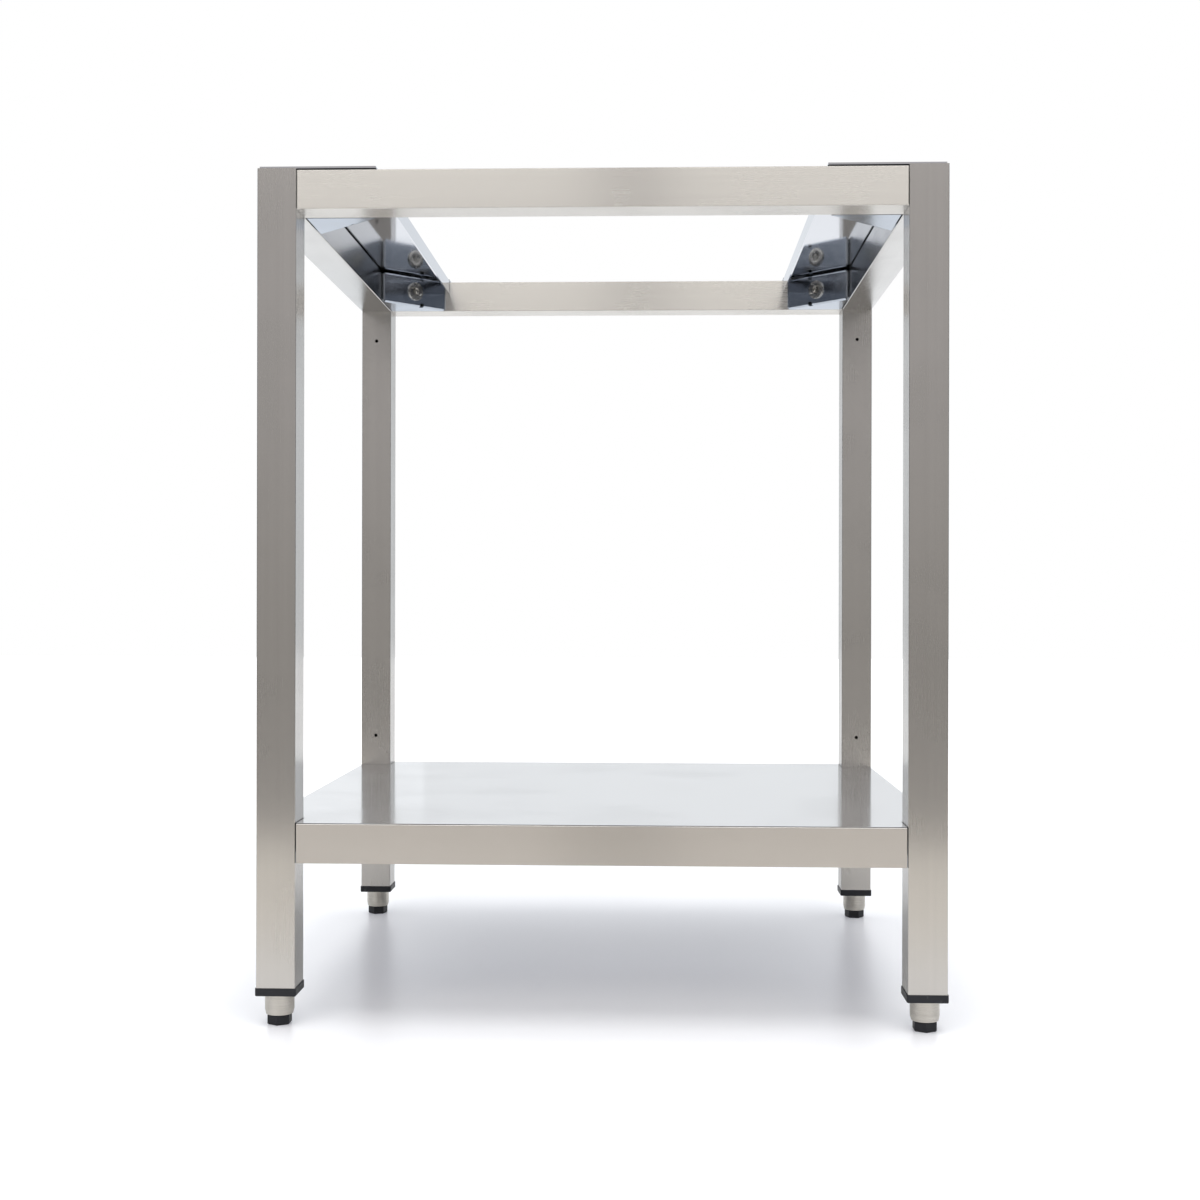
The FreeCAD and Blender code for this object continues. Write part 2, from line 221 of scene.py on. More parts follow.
class StandStudio(bpy.types.PropertyGroup):
    """Floor, light and camera"""

    floor_tone: tone_setting("Floor Tone", "Colour of the floor", (0.80, 0.802, 0.81))
    # Front Floor Tone: painted shade on the floor by the camera, seen only in the steel
    front_floor_tone: tone_setting(
        "Front Floor Tone", "Colour of the floor by the camera, as the steel shows it", (0.73, 0.70, 0.655)
    )
    near_glow: tone_setting("Near Glow", "Light of the floor at the stand", (0.132, 0.135, 0.159))
    bounce_glow: tone_setting(
        "Bounce Glow", "Light of the floor at the stand, as the steel shows it", (0.03, 0.027, 0.024)
    )
    far_glow: tone_setting(
        "Far Glow", "Light of the floor far behind, as the steel shows it", (1.0, 1.0, 1.0)
    )
    sky_tone: tone_setting("Backdrop Tone", "Colour of the surroundings", (0.955, 0.98, 1.0))
    card_tone: tone_setting("Card Tone", "Colour of the grey cards", (0.46, 0.445, 0.43))
    card_upper_tone: tone_setting("Card Upper Tone", "Upper colour of the grey cards", (0.57, 0.555, 0.555))
    side_tone: tone_setting("Side Tone", "Colour of the dark side cards", (0.105, 0.115, 0.135))
    stand_tone: tone_setting("Camera Stand Tone", "Colour of the stand under the camera", (0.10, 0.095, 0.08))
    softbox_tone: tone_setting("Softbox Tone", "Colour of the front softboxes", (1.0, 0.98, 0.94))
    softbox_glow: FloatProperty(
        name="Softbox Glow", description="Strength of the front softboxes", default=2.25
    )
    rear_glow: FloatProperty(name="Rear Glow", description="Strength of the rear softbox", default=1.13)
    card_distance: length_setting("Card Distance", "Distance of the front card", 3.0)
    card_top: length_setting("Card Top", "Upper edge of the grey cards", 5.5)
    side_distance: length_setting("Side Distance", "Distance of the dark side cards", 3.6)
    side_top: length_setting("Side Top", "Upper edge of the dark side cards", 2.6)
    side_end: length_setting("Side End", "Rear end of the dark side cards", 1.5)
    softbox_low: length_setting("Softbox Low", "Lower edge of the front softboxes", 1.95)
    softbox_high: length_setting("Softbox High", "Upper edge of the front softboxes", 3.9)
    softbox_middle: length_setting("Softbox Middle", "Middle between the front softboxes", -0.02)
    softbox_gap: length_setting("Softbox Gap", "Space between the front softboxes", 0.15)
    floor_front: length_setting("Floor Front", "Front edge of the floor", -1.62)
    key_power: FloatProperty(
        name="Key Power", description="Power of the overhead light", unit="POWER", default=110.0
    )
    key_size: length_setting("Key Size", "Side of the overhead light", 2.8)
    key_place: place_setting("Key Place", "Where the overhead light hangs", (0.1, -0.9, 3.6))
    camera_place: place_setting("Camera Place", "Where the camera stands", (0.0576, -1.9559, 0.4372))
    camera_turn: FloatVectorProperty(
        name="Camera Turn", description="How the camera is turned", subtype="EULER",
        default=(math.pi / 2 - 0.00065, -0.00196, 0.03513),
    )
    camera_lens: FloatProperty(name="Camera Lens", description="Focal length", unit="CAMERA", default=48.745)


# Building blocks of the node trees


def new_node(tree, kind, **settings):
    """New node of a tree with its settings."""
    made = tree.nodes.new(kind)
    for name, value in settings.items():
        setattr(made, name, value)
    return made


def feed(tree, socket, value):
    """Link a socket to another one, or set its value."""
    if isinstance(value, bpy.types.NodeSocket):
        tree.links.new(value, socket)
    else:
        socket.default_value = value


def feed_all(tree, node, **values):
    """Feed sockets of a node by their names in small letters, and give its outputs."""
    for name, value in values.items():
        feed(tree, node.inputs[name.replace("_", " ").title()], value)
    return node.outputs


def worked_out(tree, kind, operation, values):
    """Result of a math node of some kind on values or sockets."""
    made = new_node(tree, kind, operation=operation)
    for socket, value in zip(made.inputs, values):
        feed(tree, socket, value)
    return made.outputs


def calculate(tree, operation, *values):
    """Result of a math node on numbers or sockets."""
    return worked_out(tree, "ShaderNodeMath", operation, values)[0]


def combine(tree, operation, *values):
    """Result of a vector math node on vectors or sockets."""
    return worked_out(tree, "ShaderNodeVectorMath", operation, values)[0]


def plus(tree, first, second):
    """Sum of two values."""
    return calculate(tree, "ADD", first, second)


def minus(tree, first, second):
    """Difference of two values."""
    return calculate(tree, "SUBTRACT", first, second)


def times(tree, first, second):
    """Product of two values."""
    return calculate(tree, "MULTIPLY", first, second)


def halfway(tree, first, second):
    """Mean of two values."""
    return times(tree, plus(tree, first, second), 0.5)


def split(tree, vector):
    """X, Y and Z of a vector."""
    made = new_node(tree, "ShaderNodeSeparateXYZ")
    feed(tree, made.inputs[0], vector)
    return made.outputs


def ranged(tree, value, low, high, new_low=0.0, new_high=1.0, smooth=True):
    """Value moved from one range to another and held inside it."""
    made = new_node(tree, "ShaderNodeMapRange", interpolation_type="SMOOTHSTEP" if smooth else "LINEAR")
    limits = {"from_min": low, "from_max": high, "to_min": new_low, "to_max": new_high}
    return feed_all(tree, made, value=value, **limits)["Result"]


def between(tree, value, low, high, blur):
    """Mask of the values between two limits, soft at both."""
    return times(tree, ranged(tree, value, low - blur, low), ranged(tree, value, high, high + blur, 1.0, 0.0))


def noise(tree, coordinates, scale, detail):
    """Cloudy value of a noise texture."""
    made = new_node(tree, "ShaderNodeTexNoise")
    return feed_all(tree, made, vector=coordinates, scale=scale, detail=detail)["Fac"]


def toned(tree, share, first, second):
    """Colour between two colours."""
    made = new_node(tree, "ShaderNodeMix", data_type="RGBA")
    return feed_all(tree, made, factor=share, a=first, b=second)["Result"]


def colour(tone, share=1.0):
    """Opaque colour, made lighter or darker by a share."""
    return tuple(min(part * share, 1.0) for part in tone) + (1.0,)


def shaded(tree, mask, tone, dark, light):
    """Tone that goes from a darker to a lighter share of itself with a mask."""
    return toned(tree, mask, colour(tone, dark), colour(tone, light))


def marked(tree, base, mask, amount, over):
    """Base with another colour laid over it by an amount where a mask is."""
    return toned(tree, times(tree, mask, amount), base, over)


def effect(name, inputs, outputs):
    """Empty shader group with named sockets, and its input and output sockets."""
    group = bpy.data.node_groups.new(name, "ShaderNodeTree")
    for label, kind in inputs.items():
        group.interface.new_socket(label, in_out="INPUT", socket_type=kind)
    for label in outputs:
        group.interface.new_socket(label, in_out="OUTPUT", socket_type=NUMBER)
    return group, new_node(group, "NodeGroupInput").outputs, new_node(group, "NodeGroupOutput").inputs


def shared(build):
    """Shader group that is built once under its function's name and found by it later."""
    name = build.__name__.replace("_", " ")

    def found():
        return bpy.data.node_groups.get(name) or build(name)

    return found


def placed(tree, group, **values):
    """A shader group in a material, with its own values."""
    return feed_all(tree, new_node(tree, "ShaderNodeGroup", node_tree=group), **values)


# Effects that several finishes share


@shared
def brushed_grain(name):
    """Lines left by the brushing belt: fine height and broad light and dark streaks."""
    group, given, made = effect(name, {"Coordinates": VECTOR, "Stretch": VECTOR}, ("Height", "Streak"))
    stretched = combine(group, "MULTIPLY", given["Coordinates"], given["Stretch"])
    fine = times(group, noise(group, stretched, scale=1.0, detail=3.0), FINE_SHARE)
    finer = times(group, noise(group, stretched, scale=3.7, detail=2.0), FINER_SHARE)
    feed(group, made["Height"], plus(group, fine, finer))
    broad = noise(group, stretched, scale=0.11, detail=3.0)
    feed(group, made["Streak"], ranged(group, broad, *NOISE_CORE))
    return group


@shared
def handling_marks(name):
    """Smudges from hands and cloths, and fine scratches that run off the grain."""
    group, given, made = effect(
        name, {"Coordinates": VECTOR, "Smudge Size": NUMBER, "Scratch Stretch": VECTOR}, ("Smudge", "Scratch")
    )
    scale = calculate(group, "DIVIDE", 1.0, given["Smudge Size"])
    cloudy = noise(group, given["Coordinates"], scale, detail=4.0)
    feed(group, made["Smudge"], ranged(group, cloudy, *SMUDGE_RANGE))
    turned = new_node(group, "ShaderNodeVectorRotate", rotation_type="EULER_XYZ")
    across = feed_all(group, turned, vector=given["Coordinates"], rotation=SCRATCH_TURN)[0]
    stretched = combine(group, "MULTIPLY", across, given["Scratch Stretch"])
    lines = noise(group, stretched, scale=1.0, detail=1.0)
    feed(group, made["Scratch"], ranged(group, lines, *SCRATCH_RANGE))
    return group


@shared
def corner_polish(name):
    """Edges of a square tube, rubbed bright in places."""
    sizes = {"Centre": VECTOR, "Along": VECTOR, "Half Side": NUMBER, "Radius": NUMBER}
    group, given, made = effect(name, {"Coordinates": VECTOR} | sizes, ("Polish",))
    mirrored = combine(group, "ABSOLUTE", given["Coordinates"])
    across = combine(group, "ABSOLUTE", combine(group, "SUBTRACT", mirrored, given["Centre"]))
    parts = split(group, combine(group, "ADD", across, given["Along"]))
    nearest = calculate(group, "MINIMUM", parts[X], parts[Y])
    nearest = calculate(group, "MINIMUM", nearest, parts[Z])
    rim = ranged(group, nearest, minus(group, given["Half Side"], given["Radius"]), given["Half Side"])
    patchy = ranged(group, noise(group, given["Coordinates"], scale=60.0, detail=3.0), *RUBBED_RANGE)
    feed(group, made["Polish"], times(group, rim, patchy))
    return group


@shared
def fine_mottle(name):
    """Even speckle of a rolled or moulded surface, with a soft cloud over it."""
    group, given, made = effect(
        name, {"Coordinates": VECTOR, "Grain Size": NUMBER, "Cloud Size": NUMBER}, ("Height", "Cloud")
    )
    scale = calculate(group, "DIVIDE", 1.0, given["Grain Size"])
    feed(group, made["Height"], noise(group, given["Coordinates"], scale, detail=3.0))
    scale = calculate(group, "DIVIDE", 1.0, given["Cloud Size"])
    cloudy = noise(group, given["Coordinates"], scale, detail=4.0)
    feed(group, made["Cloud"], ranged(group, cloudy, *NOISE_CORE))
    return group


# Materials


def empty_material(name):
    """Material without nodes, and its tree."""
    material = bpy.data.materials.new(name)
    material.use_nodes = True
    material.node_tree.nodes.clear()
    return material, material.node_tree


def object_place(tree):
    """Object coordinates of a material."""
    return new_node(tree, "ShaderNodeTexCoord").outputs["Object"]


def shown(tree, shader):
    """Shader set as the surface of its material."""
    tree.links.new(shader.outputs[0], new_node(tree, "ShaderNodeOutputMaterial").inputs["Surface"])


def new_material(name, metallic=0.0):
    """Material with its output, its shader and object coordinates."""
    material, tree = empty_material(name)
    shader = new_node(tree, "ShaderNodeBsdfPrincipled")
    shader.inputs["Metallic"].default_value = metallic
    shown(tree, shader)
    return material, tree, shader, object_place(tree)


def marks_on(tree, coordinates, size, stretch):
    """Handling marks of a material, with smudges of a size and scratches of a stretch."""
    return placed(tree, handling_marks(), coordinates=coordinates, smudge_size=size, scratch_stretch=stretch)


def mottle_on(tree, coordinates, grain, cloud):
    """Mottle of a material, with the sizes of its grain and its cloud."""
    return placed(tree, fine_mottle(), coordinates=coordinates, grain_size=grain, cloud_size=cloud)


def relief(tree, shader, height, depth):
    """Bump of a shader from a height and a real depth."""
    bump = feed_all(tree, new_node(tree, "ShaderNodeBump"), strength=1.0, distance=depth, height=height)
    tree.links.new(bump["Normal"], shader.inputs["Normal"])


def roughened(tree, shader, mask, limits, low, high):
    """Roughness that goes between two values while a mask goes between its limits."""
    feed(tree, shader.inputs["Roughness"], ranged(tree, mask, *limits, low, high, smooth=False))


def grain_along(tree, shader, along, amount):
    """Gloss drawn out across brush lines that run almost along one axis."""
    direction = list(GRAIN_SKEW)
    direction[along] = 1.0
    line = new_node(tree, "ShaderNodeCombineXYZ")
    for socket, part in zip(line.inputs, direction):
        socket.default_value = part
    feed_all(tree, shader, tangent=line.outputs[0], anisotropic=amount, anisotropic_rotation=QUARTER_TURN)


def brushed_stretch(along):
    """Repeats a metre of the brush lines, along one axis and across it."""
    steel = bpy.context.scene.stand_steel
    return tuple(1 / steel.grain_length if axis == along else 1 / steel.grain_pitch for axis in range(3))


def rail_ends(tree, parts, along, end):
    """Painted shade at the ends of a rail, on its upright faces, where the gap to the leg falls dark."""
    width = bpy.context.scene.stand_steel.seam_width
    under = RAIL_LEVEL - TUBE_HALF
    reach = calculate(tree, "ABSOLUTE", parts[along])
    upright = ranged(tree, parts[Z], under, under + width)
    return times(tree, ranged(tree, reach, end - width, end), upright)


def shelf_gaps(tree, parts):
    """Painted shade on a leg behind the ends of the shelf skirts, where the gaps fall dark."""
    depth = bpy.context.scene.stand_steel.gap_depth
    masks = []
    for facing, beside in ((X, Y), (Y, X)):
        inner = LEG_AXIS[facing] - TUBE_HALF
        rim = LEG_AXIS[beside] + TUBE_HALF - depth
        face = calculate(tree, "ABSOLUTE", parts[facing])
        face = ranged(tree, face, inner + GAP_BLUR, inner + 2 * GAP_BLUR, 1.0, 0.0)
        reach = ranged(tree, calculate(tree, "ABSOLUTE", parts[beside]), rim, rim + GAP_BLUR)
        masks.append(times(tree, face, reach))
    low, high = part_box("shelf")
    level = between(tree, parts[Z], low.z + GAP_BLUR, high.z - GAP_BLUR, GAP_BLUR)
    return times(tree, calculate(tree, "MAXIMUM", *masks), level)


def brushed_tube(name, tone, along, centre, roughness, glance, painted_shade):
    """Brushed square tube whose grain runs along one axis, with painted shade where it meets its neighbours.
    """
    steel = bpy.context.scene.stand_steel
    material, tree, shader, coordinates = new_material(name, metallic=1.0)
    grain = placed(tree, brushed_grain(), coordinates=coordinates, stretch=brushed_stretch(along))
    marks = marks_on(tree, coordinates, size=0.09, stretch=(14.0, 900.0, 700.0))
    clear = tuple(FAR_AWAY if axis == along else 0.0 for axis in range(3))
    edge = placed(
        tree, corner_polish(), coordinates=coordinates, centre=centre, along=clear,
        half_side=TUBE_HALF, radius=steel.corner_radius,
    )
    base = shaded(tree, grain["Streak"], tone, dark=0.985, light=1.015)
    base = marked(tree, base, marks["Smudge"], amount=0.35, over=colour(tone, 0.93))
    base = marked(tree, base, edge["Polish"], amount=0.3, over=colour(tone, 1.15))
    # Painted shade where the tube meets its neighbours
    base = toned(tree, painted_shade(tree, split(tree, coordinates)), base, colour(steel.seam_tone))
    feed_all(tree, shader, base_color=base, specular_tint=colour(steel.glance_tone, glance))
    spread = (roughness - GRAIN_SPREAD, roughness + GRAIN_SPREAD)
    rough = ranged(tree, grain["Height"], *NOISE_CORE, *spread, smooth=False)
    rough = plus(tree, rough, times(tree, marks["Smudge"], SMUDGE_DULLING))
    rough = minus(tree, rough, times(tree, edge["Polish"], RUBBED_GLOSS))
    feed_all(tree, shader, roughness=rough)
    height = minus(tree, grain["Height"], times(tree, marks["Scratch"], SCRATCH_CUT))
    relief(tree, shader, height, steel.grain_depth)
    grain_along(tree, shader, along, amount=0.95)
    return material


def leg_finish():
    """Brushed legs, with painted shade behind the ends of the shelf skirts."""
    return brushed_tube(
        "brushed leg steel", bpy.context.scene.stand_steel.leg_tone, along=Z,
        centre=(LEG_AXIS.x, LEG_AXIS.y, 0.0), roughness=0.24, glance=1.0, painted_shade=shelf_gaps,
    )


def rail_finish(name, node, along, centre, roughness, glance):
    """Brushed rails, with painted shade at both ends."""
    # Painted shade of the gaps at both ends of the rail
    ends = partial(rail_ends, along=along, end=extent_of(node)[along] / 2)
    return brushed_tube(name, bpy.context.scene.stand_steel.rail_tone, along, centre, roughness, glance, ends)


def bright_sheet(name, along, roughness, amount):
    """Bright sheet with faint brush lines, cloth marks and a few scratches."""
    steel = bpy.context.scene.stand_steel
    material, tree, shader, coordinates = new_material(name, metallic=1.0)
    grain = placed(tree, brushed_grain(), coordinates=coordinates, stretch=brushed_stretch(along))
    marks = marks_on(tree, coordinates, size=0.14, stretch=(700.0, 12.0, 700.0))
    shade = shaded(tree, grain["Streak"], PLAIN, dark=0.985, light=1.0)
    shade = marked(tree, shade, marks["Smudge"], amount=0.3, over=colour(PLAIN, 0.95))
    height = minus(tree, grain["Height"], times(tree, marks["Scratch"], SHEET_SCRATCH_CUT))
    relief(tree, shader, height, steel.grain_depth / 2)
    grain_along(tree, shader, along, amount)
    rough = plus(tree, roughness, times(tree, marks["Smudge"], SHEET_SMUDGE_DULLING))
    return material, tree, shader, shade, rough


def plate_finish():
    """Bright sheet of the top plates."""
    steel = bpy.context.scene.stand_steel
    material, tree, shader, shade, rough = bright_sheet(
        "bright plate steel", along=Y, roughness=0.06, amount=0.5
    )
    base = combine(tree, "MULTIPLY", shade, tuple(steel.plate_tone))
    feed_all(tree, shader, base_color=base, roughness=rough, specular_tint=colour(steel.glance_tone, 0.92))
    return material


def shelf_finish():
    """Sheet that is bright on top and satin on its skirts, with painted shade on the skirts and a painted
    dark reflection along its bends.
    """
    steel = bpy.context.scene.stand_steel
    material, tree, shader, shade, rough = bright_sheet(
        "shelf sheet steel", along=X, roughness=0.13, amount=0.9
    )
    level = split(tree, object_place(tree))[Z]
    bend = SHELF_TOP - BEND_START
    below = ranged(tree, level, SHELF_TOP - BEND_END, bend, 1.0, 0.0)
    # The skirts get a darker, warmer tone than the top of the same sheet: painted shade
    tone = toned(tree, below, colour(steel.shelf_tone), colour(steel.skirt_tone))
    # Painted dark reflection along the bends
    line = between(tree, level, SHELF_TOP - steel.bend_line, bend, BEND_BLUR)
    tone = marked(tree, tone, line, amount=0.8, over=colour(steel.seam_tone))
    rough = plus(tree, rough, times(tree, below, SKIRT_DULLING))
    feed_all(tree, shader, base_color=combine(tree, "MULTIPLY", shade, tone), roughness=rough)
    feed_all(tree, shader, coat_weight=0.42, coat_roughness=0.5)
    return material


def brace_finish():
    """Plain rolled sheet, darker and not brushed."""
    steel = bpy.context.scene.stand_steel
    material, tree, shader, coordinates = new_material("plain brace steel", metallic=1.0)
    mottle = mottle_on(tree, coordinates, grain=0.0006, cloud=0.03)
    marks = marks_on(tree, coordinates, size=0.04, stretch=(300.0, 300.0, 20.0))
    base = shaded(tree, mottle["Cloud"], steel.brace_tone, dark=0.94, light=1.06)
    base = marked(tree, base, marks["Scratch"], amount=0.5, over=colour(steel.brace_tone, 1.3))
    feed_all(tree, shader, base_color=base, specular_tint=colour(steel.glance_tone, 0.78))
    roughened(tree, shader, mottle["Cloud"], WHOLE, 0.16, 0.22)
    relief(tree, shader, mottle["Height"], steel.grain_depth / 2)
    return material


def fastener_finish():
    """Plain steel of turned and threaded pieces."""
    steel = bpy.context.scene.stand_steel
    material, tree, shader, coordinates = new_material("turned fastener steel", metallic=1.0)
    mottle = mottle_on(tree, coordinates, grain=0.0004, cloud=0.004)
    base = shaded(tree, mottle["Cloud"], steel.fastener_tone, dark=0.9, light=1.05)
    feed_all(tree, shader, base_color=base)
    roughened(tree, shader, mottle["Cloud"], WHOLE, 0.20, 0.28)
    relief(tree, shader, mottle["Height"], steel.grain_depth / 3)
    return material


def sleeve_finish():
    """Satin sleeve with fine rings from the lathe."""
    steel = bpy.context.scene.stand_steel
    ring_pitch = bpy.context.scene.stand_feet.ring_pitch
    material, tree, shader, coordinates = new_material("turned sleeve steel", metallic=1.0)
    rings = placed(tree, brushed_grain(), coordinates=coordinates, stretch=(25.0, 25.0, 1 / ring_pitch))
    marks = marks_on(tree, coordinates, size=0.012, stretch=(500.0, 500.0, 40.0))
    base = shaded(tree, rings["Streak"], steel.sleeve_tone, dark=0.95, light=1.04)
    base = marked(tree, base, marks["Smudge"], amount=0.4, over=colour(steel.sleeve_tone, 0.88))
    feed_all(tree, shader, base_color=base)
    roughened(tree, shader, rings["Height"], NOISE_CORE, 0.24, 0.34)
    relief(tree, shader, rings["Height"], steel.grain_depth)
    return material


def plastic_finish():
    """Black moulded plastic, scuffed a little."""
    feet = bpy.context.scene.stand_feet
    material, tree, shader, coordinates = new_material("black moulded plastic")
    mottle = mottle_on(tree, coordinates, grain=feet.texture_size, cloud=0.01)
    marks = marks_on(tree, coordinates, size=0.006, stretch=(260.0, 260.0, 60.0))
    base = shaded(tree, mottle["Cloud"], feet.plastic_tone, dark=0.85, light=1.2)
    base = marked(tree, base, marks["Scratch"], amount=0.5, over=colour(feet.scuff_tone))
    feed_all(tree, shader, base_color=base)
    shader.inputs["Specular IOR Level"].default_value = 0.35
    roughened(tree, shader, mottle["Cloud"], WHOLE, 0.40, 0.52)
    relief(tree, shader, mottle["Height"], feet.texture_size / 20)
    return material


def finish_nodes(material, *nodes):
    """Give CAD nodes a finish."""
    for node in nodes:
        for holder in frame["nodes"][node].material_slots:
            holder.material = material


def at_corners(piece):
    """Names of the four nodes of a piece, one at each corner."""
    return [corner + "_" + piece for corner in CORNERS]


# Fasteners grown by geometry nodes


def corner_points(node, corner):
    """Points of a node in one corner of the stand."""
    side_x, side_y = CORNERS[corner]
    points = [vertex.co for vertex in frame["nodes"][node].data.vertices]
    return [point.copy() for point in points if point.x * side_x > 0 and point.y * side_y > 0]


def box_middle(points):
    """Middle of the box round some points."""
    low = Vector([min(parts) for parts in zip(*points)])
    high = Vector([max(parts) for parts in zip(*points)])
    return (low + high) / 2


def screw_line(place, corner):
    """Middle of a washer, and the way its screw points out of the leg."""
    side_x, side_y = CORNERS[corner]
    middle = box_middle(corner_points(place + "_washers", corner))
    edge = Vector((side_x * (LEG_AXIS.x - TUBE_HALF), side_y * (LEG_AXIS.y - TUBE_HALF), middle.z))
    return middle, (middle - edge).normalized()


def measured(node, line):
    """How far the points of a piece in the first corner lie along and away from its screw line."""
    middle, axis = line
    spokes = [point - middle for point in corner_points(node, next(iter(CORNERS)))]
    return [(spoke.dot(axis), spoke.cross(axis).length) for spoke in spokes]


def washer_sizes(place, line, edge):
    """Sizes of the washers at a place, read from the frame."""
    points = measured(place + "_washers", line)
    return {
        "Outer Radius": max(away for along, away in points),
        "Inner Radius": min(away for along, away in points),
        "Thickness": 2 * max(along for along, away in points),
        "Edge": edge,
    }


def screw_sizes(place, line, seat, fasteners):
    """Sizes of the screws at a place, read from the frame, with their heads on a seat."""
    points = measured(place + "_screws", line)
    radius = max(away for along, away in points)
    socket = [(along, away) for along, away in points if along > seat and away < SOCKET_REACH * radius]
    return {
        "Head Radius": radius,
        "Head Bottom": seat,
        "Head Top": max(along for along, away in points),
        "Head Edge": fasteners.head_edge,
        "Knurl Depth": fasteners.knurl_depth,
        "Socket Radius": max(away for along, away in socket),
        "Socket Floor": min(along for along, away in socket),
        "Shank Radius": max(away for along, away in points if along < -seat),
        "Shank End": min(along for along, away in points),
        "Thread Pitch": fasteners.thread_pitch,
        "Thread Depth": fasteners.thread_depth,
    }


def growth_tree(name, *sizes):
    """Geometry tree with named sizes, and its input and output sockets."""
    tree = bpy.data.node_groups.new(name, "GeometryNodeTree")
    tree.interface.new_socket("Places", in_out="INPUT", socket_type="NodeSocketGeometry")
    for label in sizes:
        tree.interface.new_socket(label, in_out="INPUT", socket_type=NUMBER)
    tree.interface.new_socket("Pieces", in_out="OUTPUT", socket_type="NodeSocketGeometry")
    return tree, new_node(tree, "NodeGroupInput").outputs, new_node(tree, "NodeGroupOutput").inputs


def shaped(tree, kind, values, output, **settings):
    """Output of a geometry node fed by socket names."""
    made = new_node(tree, "GeometryNode" + kind, **settings)
    for name, value in values.items():
        feed(tree, made.inputs[name], value)
    return made.outputs[output]


def set_on_places(tree, given, made, piece, material):
    """Piece set on every place, turned to its axis, as real geometry in its material."""
    axis = shaped(tree, "InputNamedAttribute", {"Name": "axis"}, "Attribute", data_type="FLOAT_VECTOR")
    turn = new_node(tree, "FunctionNodeAxesToRotation", primary_axis="Z", secondary_axis="X")
    turned = feed_all(tree, turn, primary_axis=axis, secondary_axis=(0, 0, 1))["Rotation"]
    spots = {"Points": given["Places"], "Instance": piece, "Rotation": turned}
    pieces = shaped(tree, "InstanceOnPoints", spots, "Instances")
    real = shaped(tree, "RealizeInstances", {"Geometry": pieces}, "Geometry")
    finished = shaped(tree, "SetMaterial", {"Geometry": real, "Material": material}, "Geometry")
    tree.links.new(finished, made["Pieces"])


def cylinder(tree, sides, radius, depth):
    """Upright cylinder or prism about the origin."""
    return shaped(tree, "MeshCylinder", {"Vertices": sides, "Radius": radius, "Depth": depth}, "Mesh")


def raised(tree, piece, level):
    """Piece moved up along Z."""
    lift = new_node(tree, "ShaderNodeCombineXYZ")
    feed(tree, lift.inputs["Z"], level)
    return shaped(tree, "Transform", {"Geometry": piece, "Translation": lift.outputs[0]}, "Geometry")


def washer_tree(material):
    """Flat ring with rounded edges."""
    tree, given, made = growth_tree("washer", "Outer Radius", "Inner Radius", "Thickness", "Edge")
    width = minus(tree, given["Outer Radius"], given["Inner Radius"])
    radius = halfway(tree, given["Outer Radius"], given["Inner Radius"])
    ring = shaped(tree, "CurvePrimitiveCircle", {"Radius": radius, "Resolution": RING_STEPS}, "Curve")
    sides = {"Width": width, "Height": given["Thickness"]}
    section = shaped(tree, "CurvePrimitiveQuadrilateral", sides, "Curve")
    rounding = {"Curve": section, "Radius": given["Edge"], "Count": EDGE_STEPS}
    section = shaped(tree, "FilletCurve", rounding, "Curve", mode="POLY")
    piece = shaped(tree, "CurveToMesh", {"Curve": ring, "Profile Curve": section}, "Mesh")
    set_on_places(tree, given, made, piece, material)
    return tree


def screw_head(tree, given, knurls):
    """Knurled round head, chamfered at the top, with a hexagon socket."""
    height = minus(tree, given["Head Top"], given["Head Bottom"])
    head = cylinder(tree, 2 * knurls, given["Head Radius"], height)
    share = minus(tree, 1.0, calculate(tree, "DIVIDE", given["Knurl Depth"], given["Head Radius"]))
    narrower = new_node(tree, "ShaderNodeCombineXYZ")
    for socket, value in zip(narrower.inputs, (share, share, 1.0)):
        feed(tree, socket, value)
    place = new_node(tree, "GeometryNodeInputPosition").outputs[0]
    odd = calculate(tree, "MODULO", new_node(tree, "GeometryNodeInputIndex").outputs[0], 2.0)
    grooved = combine(tree, "MULTIPLY", place, narrower.outputs[0])
    head = shaped(tree, "SetPosition", {"Geometry": head, "Selection": odd, "Position": grooved}, "Geometry")
    head = raised(tree, head, halfway(tree, given["Head Bottom"], given["Head Top"]))
    wide = plus(tree, given["Head Radius"], times(tree, height, 2.0))
    narrow = minus(tree, given["Head Radius"], given["Head Edge"])
    taper = minus(tree, wide, narrow)
    cone = shaped(
        tree, "MeshCone",
        {"Vertices": RING_STEPS, "Radius Top": minus(tree, narrow, height), "Radius Bottom": wide,
         "Depth": plus(tree, taper, height)}, "Mesh",
    )
    cone = raised(tree, cone, minus(tree, given["Head Top"], taper))
    trimmed = new_node(tree, "GeometryNodeMeshBoolean", operation="INTERSECT")
    for part in (head, cone):
        tree.links.new(part, trimmed.inputs["Mesh 2"])
    deep = minus(tree, given["Head Top"], given["Socket Floor"])
    socket = cylinder(tree, SOCKET_SIDES, given["Socket Radius"], times(tree, deep, 2.0))
    hollowed = new_node(tree, "GeometryNodeMeshBoolean", operation="DIFFERENCE")
    tree.links.new(trimmed.outputs["Mesh"], hollowed.inputs["Mesh 1"])
    tree.links.new(raised(tree, socket, given["Head Top"]), hollowed.inputs["Mesh 2"])
    return hollowed.outputs["Mesh"]


